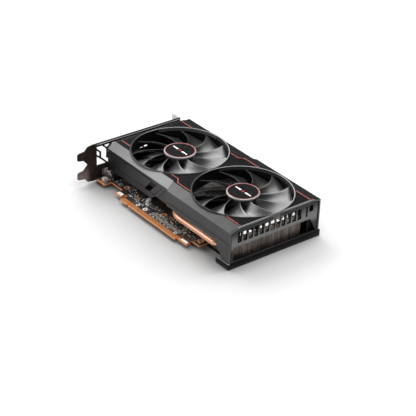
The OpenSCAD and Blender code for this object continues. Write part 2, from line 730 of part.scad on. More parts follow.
module fan_board() color("#2b5a3c") tube(11.6, 4.05, seat_top, seat_top + 0.8);

module fan_shaft() color("#d3d5d8") translate([0, 0, seat_low + 0.7])
    cylinder(r = shaft_r, h = 38.2 - seat_low - 0.7);

// cup of the hub, with a stub that grips the shaft
module hub() {
    rotate_extrude() polygon([[magnet_r, rotor_low], [hub_r, rotor_low], [hub_r, hub_top - 1.2],
        [hub_r - 0.7, hub_top], [badge_r + 0.85, hub_top], [badge_r + 0.85, hub_top - 0.5],
        [0, hub_top - 0.5], [0, 38.2], [shaft_r, 38.2], [shaft_r, 36.6], [3, 36.6], [3, 37.6],
        [magnet_r, 37.6]]);
}

blade_root = hub_r - 0.6;
blade_high = 38.3;
blade_low = 28.9;
blade_t = 1;
rings_n = 7;                   // stations from root to tip
chord_n = 5;                   // stations from leading to trailing edge

// share of the way out from the hub, 0 to 1
function out(i) = i / (rings_n - 1);

function blade_radius(i) = blade_root + (blade_r - blade_root) * out(i);

// angle of the leading edge, and how far round the blade reaches behind it
function lead_angle(i) = blade_sweep * (out(i) - 1);
function chord_angle(i) = 25 + 5 * out(i);

// the blade falls steeply behind its leading edge and flattens towards its trailing edge
function blade_fall(j) = let (u = j / (chord_n - 1)) 1.5 * u - 0.5 * u * u;

function blade_point(i, j, lower) =
    let (u = j / (chord_n - 1),
        a = lead_angle(i) - chord_angle(i) * u,
        edge = (j == 0 || j == chord_n - 1) ? 0.35 : 1,
        z = blade_high - 0.6 * out(i) - (blade_high - blade_low - 1) * blade_fall(j),
        r = blade_radius(i))
    [r * cos(a), r * sin(a), z - lower * blade_t * edge];

module blade() {
    n = rings_n * chord_n;
    points = [for (lower = [0, 1], i = [0 : rings_n - 1], j = [0 : chord_n - 1])
        blade_point(i, j, lower)];
    function id(lower, i, j) = lower * n + i * chord_n + j;
    cells = [for (i = [0 : rings_n - 2], j = [0 : chord_n - 2]) [i, j]];
    top = [for (c = cells) each [
        [id(0, c[0], c[1]), id(0, c[0] + 1, c[1]), id(0, c[0], c[1] + 1)],
        [id(0, c[0] + 1, c[1]), id(0, c[0] + 1, c[1] + 1), id(0, c[0], c[1] + 1)]]];
    bottom = [for (c = cells) each [
        [id(1, c[0], c[1]), id(1, c[0], c[1] + 1), id(1, c[0] + 1, c[1])],
        [id(1, c[0] + 1, c[1]), id(1, c[0], c[1] + 1), id(1, c[0] + 1, c[1] + 1)]]];
    rim = concat(
        [for (j = [0 : chord_n - 2]) [0, j, 0, j + 1]],
        [for (i = [0 : rings_n - 2]) [i, chord_n - 1, i + 1, chord_n - 1]],
        [for (j = [chord_n - 1 : -1 : 1]) [rings_n - 1, j, rings_n - 1, j - 1]],
        [for (i = [rings_n - 1 : -1 : 1]) [i, 0, i - 1, 0]]);
    edges = [for (e = rim) each [
        [id(0, e[0], e[1]), id(0, e[2], e[3]), id(1, e[0], e[1])],
        [id(0, e[2], e[3]), id(1, e[2], e[3]), id(1, e[0], e[1])]]];
    polyhedron(points, concat(top, bottom, edges));
}

module fan_rotor(i) color("#3b3b3d") rotate(fan_turn[i]) {
    hub();
    for (k = [0 : blades - 1]) rotate(360 * k / blades) blade();
}

module fan_magnet() color("#2d2d30") tube(magnet_r - 0.05, 11.8, 28.6, 36.4);

module fan_badge() color("#101011") translate([0, 0, hub_top - 0.5]) cylinder(r = badge_r, h = 0.45);

module fan_ring() color("#b5383c") tube(badge_r + 0.8, badge_r + 0.05, hub_top - 0.5, hub_top + 0.1);

// ---------- nodes ----------

place() pcb();
place() edge_contacts();
place() hole_rings();
place() gpu_substrate();
place() gpu_die();
place() thermal_paste();
place() memory_chips();
place() memory_pads();
place() power_inductors();
place() power_mosfets();
place() can_capacitors();
place() controller_chips();
place() small_components();
place() hdmi_shell();
place() hdmi_insert();
place() displayport_shell();
place() displayport_insert();
place() power_inlet();
place() power_pins();
place() fan_headers();
place() fan_plugs();
place() fan_1_lead();
place() fan_2_lead();
place() io_bracket();
place() bracket_screws();
place() backplate();
place() board_spacers();
place() card_screws();
place() cold_plate();
place() heat_pipes();
place() fin_stack();
place() cooler_screws();
place() cooler_springs();
place() shroud();
place() top_panels();
place() accent_strips();
place() at_fan(0) fan_frame();  // fan_1_frame
place() at_fan(0) fan_screws();  // fan_1_screws
place() at_fan(0) fan_sleeve();  // fan_1_sleeve
place() at_fan(0) fan_stator();  // fan_1_stator
place() at_fan(0) fan_coils();  // fan_1_coils
place() at_fan(0) fan_board();  // fan_1_board
place() at_fan(0) fan_shaft();  // fan_1_shaft
place() at_fan(0) fan_rotor(0);  // fan_1_rotor
place() at_fan(0) fan_magnet();  // fan_1_magnet
place() at_fan(0) fan_badge();  // fan_1_badge
place() at_fan(0) fan_ring();  // fan_1_ring
place() at_fan(1) fan_frame();  // fan_2_frame
place() at_fan(1) fan_screws();  // fan_2_screws
place() at_fan(1) fan_sleeve();  // fan_2_sleeve
place() at_fan(1) fan_stator();  // fan_2_stator
place() at_fan(1) fan_coils();  // fan_2_coils
place() at_fan(1) fan_board();  // fan_2_board
place() at_fan(1) fan_shaft();  // fan_2_shaft
place() at_fan(1) fan_rotor(1);  // fan_2_rotor
place() at_fan(1) fan_magnet();  // fan_2_magnet
place() at_fan(1) fan_badge();  // fan_2_badge
place() at_fan(1) fan_ring();  // fan_2_ring
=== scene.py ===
import json
import math
import random

import bmesh
import bpy
from mathutils import Matrix, Vector


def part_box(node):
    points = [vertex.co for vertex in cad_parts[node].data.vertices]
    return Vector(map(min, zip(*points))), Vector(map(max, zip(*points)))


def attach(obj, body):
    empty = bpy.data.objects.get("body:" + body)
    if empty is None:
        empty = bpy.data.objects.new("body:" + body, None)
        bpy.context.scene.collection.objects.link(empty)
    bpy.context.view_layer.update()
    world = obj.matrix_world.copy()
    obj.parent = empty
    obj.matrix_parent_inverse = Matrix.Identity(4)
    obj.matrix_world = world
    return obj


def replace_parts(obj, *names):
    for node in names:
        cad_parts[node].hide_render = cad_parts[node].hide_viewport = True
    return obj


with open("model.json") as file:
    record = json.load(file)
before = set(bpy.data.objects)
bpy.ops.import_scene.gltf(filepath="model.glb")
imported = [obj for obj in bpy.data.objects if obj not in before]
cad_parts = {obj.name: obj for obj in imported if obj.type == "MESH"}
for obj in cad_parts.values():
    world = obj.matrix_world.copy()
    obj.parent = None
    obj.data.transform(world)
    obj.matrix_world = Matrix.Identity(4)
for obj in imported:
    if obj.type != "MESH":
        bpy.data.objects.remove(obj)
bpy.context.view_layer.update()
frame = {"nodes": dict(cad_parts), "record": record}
MM = 0.001

# Lengths below are in millimetres from the bracket's inner face (X), the edge connector's lip (Y)
# and the surface the card lies on (Z). pos() turns them into the frame's metres.
BOARD_START = 4.6              # X of the board's end beside the bracket
BOARD_LOW, BOARD_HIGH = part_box("pcb")
OX, OY = BOARD_START - BOARD_LOW.x / MM, -BOARD_LOW.y / MM
BOARD_TOP = BOARD_HIGH.z / MM
FANS = [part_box("fan_%d_badge" % i) for i in (1, 2)]
FAN_AXIS = [((a.x + b.x) / 2 / MM + OX, (a.y + b.y) / 2 / MM + OY) for a, b in FANS]
FAN_TURN = (11, 6.8)           # degrees that each rotor is turned at rest


def pos(x, y, z):
    return Vector(((x - OX) * MM, (y - OY) * MM, z * MM))


# ---------- camera and light ----------

LENS, SENSOR = 126.6, 36
FAR_CLIP = 20                  # metres
CAMERA_PLACE = (1014.7, -677.1, 683.9)
CAMERA_TURN = (51.005, 30.186, 2.384)        # azimuth, elevation and roll in degrees

WORLD_LEVEL = 0.05
LIGHT_TARGET = (95, 55, 20)
SOFTBOXES = [                  # name, azimuth, elevation, distance and size in metres, power in watts
    ("key", 270, 46, 1.6, (0.8, 0.7), 17),
    ("top", 168, 77, 1.6, (1.2, 1.0), 30),
    ("back", 180, 50, 1.7, (0.9, 0.8), 13),
    ("low", 254, 15, 1.8, (0.7, 0.4), 6),
    ("side", 312, 34, 1.9, (1.3, 0.8), 16),
    ("front", 20, 24, 2.0, (1.1, 0.6), 6),
]


def basis(azimuth, elevation, roll=0.0):
    """The right, up and backward directions of a camera or light."""
    a, e, r = (math.radians(v) for v in (azimuth, elevation, roll))
    back = Vector((math.sin(a) * math.cos(e), -math.cos(a) * math.cos(e), math.sin(e)))
    right = Vector((math.cos(a), math.sin(a), 0))
    up = back.cross(right)
    return math.cos(r) * right + math.sin(r) * up, math.cos(r) * up - math.sin(r) * right, back


def add(name, data):
    obj = bpy.data.objects.new(name, data)
    bpy.context.scene.collection.objects.link(obj)
    return obj


def aim(obj, place, axes):
    obj.matrix_world = Matrix.Translation(place) @ Matrix(axes).transposed().to_4x4()


def make_camera():
    data = bpy.data.cameras.new("camera")
    data.lens, data.sensor_width, data.clip_end = LENS, SENSOR, FAR_CLIP
    camera = add("camera", data)
    aim(camera, pos(*CAMERA_PLACE), basis(*CAMERA_TURN))
    bpy.context.scene.camera = camera


def make_softbox(name, azimuth, elevation, distance, size, power):
    data = bpy.data.lights.new(name, "AREA")
    data.shape, data.size, data.size_y = "RECTANGLE", size[0], size[1]
    data.energy = power
    axes = basis(azimuth, elevation)
    aim(add(name, data), pos(*LIGHT_TARGET) + axes[2] * distance, axes)


def make_world():
    world = bpy.data.worlds.new("studio")
    world.use_nodes = True
    level = (WORLD_LEVEL, WORLD_LEVEL, WORLD_LEVEL, 1)
    world.node_tree.nodes["Background"].inputs["Color"].default_value = level
    bpy.context.scene.world = world


# ---------- materials ----------

NOISE_ROUGHNESS = 0.55
OCCLUSION_SAMPLES, BEVEL_SAMPLES = 16, 4
WEAR_SCALE = 420               # size of the gaps in a worn edge
GRAIN_SCALE = 2600
BLACK = (0.0, 0.0, 0.0)


class Tree:
    """A short way to write a material's nodes."""

    def __init__(self, name):
        self.mat = bpy.data.materials.new(name)
        self.mat.use_nodes = True
        self.tree = self.mat.node_tree
        self.shader = self.tree.nodes["Principled BSDF"]
        self.place = self.new("ShaderNodeTexCoord").outputs["Object"]
        self.geometry = self.new("ShaderNodeNewGeometry")

    def new(self, kind, **values):
        node = self.tree.nodes.new(kind)
        for key, value in values.items():
            setattr(node, key, value)
        return node

    def put(self, socket, value):
        if isinstance(value, bpy.types.NodeSocket):
            self.tree.links.new(value, socket)
        else:
            socket.default_value = value

    def set(self, **values):
        for key, value in values.items():
            self.put(self.shader.inputs[key.replace("_", " ")], value)

    def gloss(self, level):
        self.shader.inputs["Specular IOR Level"].default_value = level

    def base_colour(self):
        return self.shader.inputs["Base Color"].links[0].from_socket

    def math(self, op, a, b=0.0):
        node = self.new("ShaderNodeMath", operation=op)
        self.put(node.inputs[0], a)
        self.put(node.inputs[1], b)
        return node.outputs[0]

    def times(self, a, b):
        return self.math("MULTIPLY", a, b)

    def plus(self, a, b):
        return self.math("ADD", a, b)

    def minus(self, a, b):
        return self.math("SUBTRACT", a, b)

    def size(self, a):
        return self.math("ABSOLUTE", a)

    def ramp(self, value, low, high, to_low=0.0, to_high=1.0):
        """A smooth step: to_low at low and before it, to_high at high and past it."""
        node = self.new("ShaderNodeMapRange", interpolation_type="SMOOTHSTEP")
        self.put(node.inputs["Value"], value)
        for key, v in zip(("From Min", "From Max", "To Min", "To Max"), (low, high, to_low, to_high)):
            node.inputs[key].default_value = v
        return node.outputs["Result"]

    def near(self, value, centre, outer, inner):
        """1 within the inner distance of a centre, 0 past the outer one."""
        return self.ramp(self.size(self.minus(value, centre)), outer, inner)

    def mix(self, factor, a, b):
        node = self.new("ShaderNodeMix", data_type="RGBA")
        self.put(node.inputs["Factor"], factor)
        for socket, v in zip((node.inputs["A"], node.inputs["B"]), (a, b)):
            self.put(socket, (*v, 1) if isinstance(v, tuple) else v)
        return node.outputs["Result"]

    def stretched(self, scale):
        node = self.new("ShaderNodeMapping")
        self.put(node.inputs["Vector"], self.place)
        node.inputs["Scale"].default_value = scale
        return node.outputs["Vector"]

    def noise(self, scale, detail, place=None):
        node = self.new("ShaderNodeTexNoise")
        self.put(node.inputs["Vector"], place or self.place)
        self.put(node.inputs["Scale"], scale)
        self.put(node.inputs["Detail"], detail)
        self.put(node.inputs["Roughness"], NOISE_ROUGHNESS)
        return node.outputs["Fac"]

    def streaks(self, scale, detail=2):
        """Noise with its own scale along X, Y and Z."""
        return self.noise(1.0, detail, place=self.stretched(scale))

    def voronoi(self, scale, feature="F1", metric="EUCLIDEAN"):
        node = self.new("ShaderNodeTexVoronoi", feature=feature)
        if feature != "DISTANCE_TO_EDGE":
            node.distance = metric
        self.put(node.inputs["Vector"], self.place)
        self.put(node.inputs["Scale"], scale)
        return node.outputs["Distance"]

    def part(self, socket, axis):
        node = self.new("ShaderNodeSeparateXYZ")
        self.put(node.inputs[0], socket)
        return node.outputs[axis]

    def card(self, axis):
        """The place along X, Y or Z in the card's own millimetres."""
        shift = {"X": OX, "Y": OY, "Z": 0.0}[axis]
        return self.plus(self.times(self.part(self.place, axis), 1 / MM), shift)

    def facing(self, axis):
        return self.part(self.geometry.outputs["True Normal"], axis)

    def openness(self, reach, towards):
        """How open the space is round a direction, out to a distance: 1 is open, 0 is shut in."""
        node = self.new("ShaderNodeAmbientOcclusion", samples=OCCLUSION_SAMPLES)
        node.inputs["Distance"].default_value = reach * MM
        axis = self.new("ShaderNodeCombineXYZ")
        for socket, value in zip(axis.inputs, towards):
            socket.default_value = value
        self.put(node.inputs["Normal"], axis.outputs[0])
        return node.outputs["AO"]

    def edges(self, radius):
        """1 on a sharp outer edge, 0 on a flat, and the rounded normal."""
        bevel = self.new("ShaderNodeBevel", samples=BEVEL_SAMPLES)
        bevel.inputs["Radius"].default_value = radius * MM
        dot = self.new("ShaderNodeVectorMath", operation="DOT_PRODUCT")
        self.put(dot.inputs[0], bevel.outputs[0])
        self.put(dot.inputs[1], self.geometry.outputs["True Normal"])
        return self.ramp(dot.outputs["Value"], 0.99, 0.82), bevel.outputs[0]

    def worn_and_highlit(self, colour, radius, amount, tone):
        """The colour with its sharp edges rubbed unevenly towards a tone, as wear and a painted
        highlight, and the rounded normal.
        """
        edge, normal = self.edges(radius)
        rubbed_and_highlit = self.times(edge, self.ramp(self.noise(WEAR_SCALE, 4), 0.35, 0.7, 0.25, 1.0))
        return self.mix(self.times(rubbed_and_highlit, amount), colour, tone), normal

    def bump(self, height, depth, normal=None):
        node = self.new("ShaderNodeBump")
        self.put(node.inputs["Height"], height)
        node.inputs["Distance"].default_value = depth * MM
        node.inputs["Strength"].default_value = 1.0
        if normal is not None:
            self.put(node.inputs["Normal"], normal)
        return node.outputs["Normal"]


def shade(colour, factor):
    return tuple(min(1.0, v * factor) for v in colour)


def surface(name, base, rough, metal=0.0, vary=0.18, patch=90, grain=0.02, wear=0.35, wear_to=2.2,
            rounding=0.3, brushed=None, fleck=0.0, spec=0.5, spread=1.0):
    """The general finish: patches, fine grain, brushed lines, worn edges that also carry a painted
    highlight, and rounded corners.
    """
    t = Tree(name)
    patches = t.ramp(t.noise(patch, 4), 0.3, 0.7)
    colour = t.mix(patches, shade(base, 1 - vary), shade(base, 1 + vary))
    if brushed:
        fine = t.streaks(brushed)
        colour = t.mix(t.ramp(fine, 0.35, 0.65, 0, 0.5), colour, shade(base, 0.72))
    else:
        fine = t.noise(GRAIN_SCALE, 2)
    if fleck:
        dots = t.ramp(t.voronoi(GRAIN_SCALE * 0.6), 0.12, 0.0)
        colour = t.mix(t.times(dots, fleck), colour, shade(base, 3.5))
    # Sharp edges lightened: wear and a painted highlight.
    colour, normal = t.worn_and_highlit(colour, rounding, wear, shade(base, wear_to))
    smooth, dull = max(0.05, rough - 0.06 * spread), rough + 0.08 * spread
    t.set(Base_Color=colour, Metallic=metal, Normal=t.bump(fine, grain, normal))
    t.set(Roughness=t.ramp(t.noise(patch * 5, 3), 0.25, 0.75, smooth, dull))
    t.gloss(spec)
    return t


def board_material():
    """Black mask with faint tracks, vias and ink, and bare brown edges and tongue."""
    t = Tree("board")
    base = t.mix(t.ramp(t.noise(120, 3), 0.35, 0.65), (0.006, 0.005, 0.005), (0.014, 0.011, 0.010))
    tracks = t.ramp(t.voronoi(520, "DISTANCE_TO_EDGE"), 0.05, 0.02)
    tracks = t.times(tracks, t.ramp(t.noise(160, 1), 0.46, 0.5))
    colour = t.mix(tracks, base, (0.05, 0.036, 0.028))
    vias = t.times(t.ramp(t.voronoi(620), 0.11, 0.07), t.ramp(t.noise(90, 2), 0.5, 0.56))
    colour = t.mix(vias, colour, (0.42, 0.20, 0.09))
    ink = t.ramp(t.voronoi(330, metric="CHEBYCHEV"), 0.10, 0.08)
    ink = t.times(ink, t.ramp(t.noise(210, 1), 0.55, 0.58))
    colour = t.mix(t.times(ink, 0.7), colour, (0.62, 0.61, 0.58))
    tongue = t.ramp(t.card("Y"), 5.2, 4.9)
    colour = t.mix(t.times(tongue, 0.9), colour, (0.52, 0.20, 0.07))
    side = t.ramp(t.size(t.part(t.geometry.outputs["Normal"], "Z")), 0.6, 0.4)
    cut = t.mix(t.ramp(t.noise(900, 3), 0.3, 0.7), (0.62, 0.22, 0.075), (0.95, 0.40, 0.15))
    t.set(Base_Color=t.mix(side, colour, cut), Roughness=t.ramp(tracks, 0, 1, 0.42, 0.30))
    t.set(Normal=t.bump(t.plus(tracks, vias), 0.02))
    return t.mat


def front_painted_light(t, x, y, z):
    """The grey of the shroud's front wall and bevel, which changes along the card as painted light and
    shade.
    """
    split_slope, split = 0.5533, (110.6, 111.0)        # the fold that cuts across the bevel
    # Painted light and shade: the bevel's left half paler towards x 75, its right half darker towards the
    # tail, the wall darker near the bracket.
    left = t.mix(t.ramp(x, 8, 75), (0.085, 0.085, 0.086), (0.165, 0.165, 0.166))
    right = t.mix(t.ramp(x, 108, 185), (0.062, 0.062, 0.063), (0.040, 0.040, 0.041))
    past_split = t.ramp(t.plus(x, t.times(y, split_slope)), *split)
    wall = t.mix(t.ramp(x, 20, 110), (0.003, 0.003, 0.003), (0.060, 0.060, 0.061))
    bevel = t.ramp(z, 36.42, 36.5)
    return bevel, t.mix(bevel, wall, t.mix(past_split, left, right))


def tail_painted_light(t, x, z):
    """The grey of the tail, with painted light and shade: pale under the slots, dark beside them, paler
    on the border.
    """
    low = t.mix(t.ramp(z, 15, 22), (0.036, 0.038, 0.040), (0.250, 0.250, 0.252))
    recess = t.mix(t.ramp(z, 24, 35), low, (0.040, 0.040, 0.041))
    return t.mix(t.ramp(x, 194.97, 195.05), recess, (0.130, 0.130, 0.132))


def fan_rim_highlights(t, x, y, z):
    """Painted highlights: thin pale lines round the two fan openings, faded as painted shade on the side
    nearest to the bracket.
    """
    rim_r = 46.35
    lines = []
    for axis in FAN_AXIS:
        dx, dy = t.minus(x, axis[0]), t.minus(y, axis[1])
        reach = t.math("SQRT", t.plus(t.times(dx, dx), t.times(dy, dy)))
        slant = t.plus(t.times(dy, 0.8), t.times(dx, -0.15))
        lines.append(t.times(t.near(reach, rim_r, 0.42, 0.30), t.ramp(slant, -12, 24, 0.12, 1.0)))
    return t.times(t.ramp(z, 39.6, 39.7), t.math("MAXIMUM", *lines))


def shroud_material():
    """One moulding, grey on its front and tail and black at its back and inside, with painted light,
    shade and highlights.
    """
    t = Tree("shroud_grey")
    x, y, z = (t.card(axis) for axis in "XYZ")
    nx, ny, nz = (t.facing(axis) for axis in "XYZ")
    front = t.ramp(ny, -0.15, -0.22)
    skin_y = t.ramp(x, 103.3, 104.4, 13.75, 11.85)     # the front wall steps out half-way along
    skin = t.ramp(t.minus(y, skin_y), 0.05, 0.0)
    # Painted light and shade in the grey of the front wall and bevel.
    bevel, grey = front_painted_light(t, x, y, z)
    colour = t.mix(t.times(front, t.math("MAXIMUM", skin, bevel)), (0.004, 0.004, 0.0042), grey)
    tail = t.times(t.ramp(nx, 0.4, 0.6), t.ramp(x, 194.3, 194.5))
    # Painted light and shade in the tail's grey.
    colour = t.mix(tail, colour, tail_painted_light(t, x, z))
    groove = t.times(t.ramp(x, 193.6, 193.7), t.ramp(x, 194.86, 194.8))
    groove = t.times(groove, t.times(t.ramp(y, 12.9, 13.0), t.ramp(z, 39.9, 39.8)))
    colour = t.mix(groove, colour, (0.003, 0.003, 0.003))
    # Painted highlight along the top edge of the tail.
    tail_edge_highlight = t.times(t.ramp(nz, 0.6, 0.8), t.times(t.ramp(x, 193.9, 194.0), t.ramp(z, 38.9, 39.1)))
    colour = t.mix(tail_edge_highlight, colour, (0.160, 0.160, 0.162))
    corner = t.times(t.ramp(nx, -0.4, -0.6), t.times(t.ramp(x, 9.0, 8.8), t.ramp(y, 20.8, 20.3)))
    colour = t.mix(corner, colour, (0.05, 0.05, 0.052))
    # Painted highlights on the rims of the fan openings.
    colour = t.mix(fan_rim_highlights(t, x, y, z), colour, (0.33, 0.33, 0.332))
    colour = t.mix(t.ramp(t.noise(45, 4), 0.3, 0.7, 0, 0.12), colour, BLACK)
    colour = t.mix(t.ramp(t.voronoi(1700), 0.12, 0.0, 0, 0.10), colour, (0.35, 0.35, 0.35))
    # Sharp edges lightened: wear and a painted highlight.
    colour, normal = t.worn_and_highlit(colour, 0.4, 0.28, (0.34, 0.34, 0.345))
    t.set(Base_Color=colour, Roughness=t.ramp(t.noise(300, 3), 0.25, 0.75, 0.40, 0.52))
    t.set(Normal=t.bump(t.noise(2900, 2), 0.02, normal))
    t.gloss(0.2)
    return t.mat


def bracket_material():
    """Dark brown paint with a coarse grain, painted light on the low tab, a painted highlight along the
    hem and a painted reflection on the flange at the screw end.
    """
    t = Tree("bracket_paint")
    x, y, z = (t.card(axis) for axis in "XYZ")
    hem_highlight_z = 38.5
    colour = t.mix(t.ramp(t.noise(160, 4), 0.3, 0.7), (0.016, 0.010, 0.009), (0.036, 0.024, 0.021))
    # Painted light: the low tab under the board painted paler.
    lit_low_tab = t.times(t.ramp(y, 0.0, -6.0), t.ramp(z, 22.0, 8.0))
    colour = t.mix(t.times(lit_low_tab, 0.8), colour, (0.30, 0.225, 0.21))
    # Painted reflection: the flange at the screw end painted near white.
    flange_reflection = t.times(t.ramp(y, 104.0, 104.3), t.ramp(x, -0.6, -1.2))
    colour = t.mix(flange_reflection, colour, (0.82, 0.82, 0.82))
    # Painted highlight: a pale line along the hem near the top edge.
    hem_highlight = t.times(t.near(z, hem_highlight_z, 0.6, 0.4), t.ramp(y, 4.0, 12.0))
    colour = t.mix(hem_highlight, colour, (0.80, 0.79, 0.78))
    # Sharp edges lightened: wear and a painted highlight.
    colour, normal = t.worn_and_highlit(colour, 0.3, 0.5, (0.14, 0.12, 0.11))
    t.set(Base_Color=colour, Roughness=t.ramp(t.noise(500, 3), 0.3, 0.7, 0.34, 0.46))
    t.set(Normal=t.bump(t.noise(1800, 2), 0.035, normal))
    t.gloss(0.3)
    return t.mat


def panel_material():
    """Black plastic with a fine moulded weave of small slanted ribs, and a painted highlight on its sharp
    edges.
    """
    t = Tree("panel_black")
    rib_angle = 38
    turned = t.new("ShaderNodeMapping")
    t.put(turned.inputs["Vector"], t.place)
    turned.inputs["Rotation"].default_value = (0, 0, math.radians(rib_angle))
    wave = t.new("ShaderNodeTexWave", wave_type="BANDS", bands_direction="X")
    t.put(wave.inputs["Vector"], turned.outputs["Vector"])
    for key, value in (("Scale", 420), ("Distortion", 1.2), ("Detail", 1)):
        wave.inputs[key].default_value = value
    weave = t.plus(t.times(wave.outputs["Fac"], 0.6), t.noise(3200, 2))
    colour = t.mix(t.ramp(t.noise(70, 4), 0.3, 0.7), (0.002, 0.002, 0.0022), (0.004, 0.004, 0.0042))
    colour = t.mix(t.ramp(t.noise(1500, 2), 0.62, 0.72, 0, 0.15), colour, (0.03, 0.03, 0.03))
    # Painted highlight: sharp edges painted paler.
    edge, normal = t.edges(0.2)
    colour = t.mix(t.times(edge, 0.35), colour, (0.09, 0.09, 0.095))
    t.set(Base_Color=colour, Roughness=t.ramp(t.noise(400, 3), 0.3, 0.7, 0.42, 0.56))
    t.set(Normal=t.bump(weave, 0.03, normal))
    t.gloss(0.08)
    return t.mat


def contact_material():
    """Gold plate: dull on top, with dark lines between the fingers, and brighter on its edges."""
    t = surface("contacts", (0.40, 0.185, 0.062), 0.36, 0.35, patch=300, brushed=(900, 5200, 900))
    stripes = t.ramp(t.streaks((1400, 60, 60)), 0.42, 0.62)
    plated = t.mix(t.times(stripes, 0.45), t.base_colour(), (0.16, 0.075, 0.028))
    edge = t.ramp(t.size(t.facing("Z")), 0.6, 0.4)
    t.set(Base_Color=t.mix(edge, plated, (0.80, 0.36, 0.15)))
    return t.mat


def backplate_material():
    """Black paint, with painted light making the foot of the lip a dull grey, and a painted highlight on
    its side edge.
    """
    t = surface("backplate_paint", (0.003, 0.003, 0.0032), 0.45, vary=0.3, grain=0.03,
                wear=0.3, wear_to=30, spec=0.10)
    y, z = t.card("Y"), t.card("Z")
    # Painted light on the foot of the lip.
    lit_foot = t.times(t.ramp(t.size(t.facing("Z")), 0.5, 0.3), t.ramp(z, 3.6, 1.6))
    colour = t.mix(lit_foot, t.base_colour(), (0.026, 0.026, 0.027))
    # Painted highlight along the side edge.
    side_edge_highlight = t.times(t.ramp(z, 5.3, 5.5), t.ramp(y, 12.2, 12.0))
    t.set(Base_Color=t.mix(side_edge_highlight, colour, (0.22, 0.22, 0.225)))
    return t.mat


def fin_material():
    """Thin brown-grey plates with painted light and shade: paler on their cut ends and upper edges,
    darker away from the tail.

    A strip of the upper edges near the tail gives off some light, so that the slots show it.
    """
    t = Tree("fins")
    x, z = t.card("X"), t.card("Z")
    band = t.streaks((40, 330, 25), 3)
    side = t.mix(t.ramp(band, 0.35, 0.65), (0.30, 0.245, 0.215), (0.62, 0.53, 0.47))
    end = t.mix(t.ramp(band, 0.3, 0.7), (0.55, 0.47, 0.42), (0.95, 0.86, 0.80))
    # Painted light and shade: cut ends and upper edges paler than the flat sides.
    ends = t.ramp(t.size(t.facing("Y")), 0.6, 0.4)
    lit_tops = t.ramp(t.facing("Z"), 0.5, 0.8)
    colour = t.mix(ends, side, end)
    # Painted shade: darker away from the tail.
    colour = t.mix(t.ramp(x, 184, 160, 0.0, 0.75), colour, BLACK)
    # Painted light on the upper edges.
    colour = t.mix(lit_tops, colour, (0.92, 0.88, 0.84))
    # The glowing strip is painted light standing for light from above on the upper edges.
    strip = t.times(t.ramp(x, 181.3, 181.6), t.times(t.ramp(x, 185.2, 184.9), t.ramp(z, 22.5, 22.7)))
    t.set(Emission_Color=t.mix(t.times(lit_tops, strip), BLACK, (1.0, 0.95, 0.9)), Emission_Strength=0.8)
    t.set(Base_Color=colour, Metallic=0.35, Roughness=t.ramp(t.noise(700, 3), 0.3, 0.7, 0.3, 0.45))
    t.set(Normal=t.bump(t.streaks((9000, 60, 700)), 0.01))
    return t.mat


MATS = {}


def finish(name, *values, **options):
    MATS[name] = surface(name, *values, **options).mat


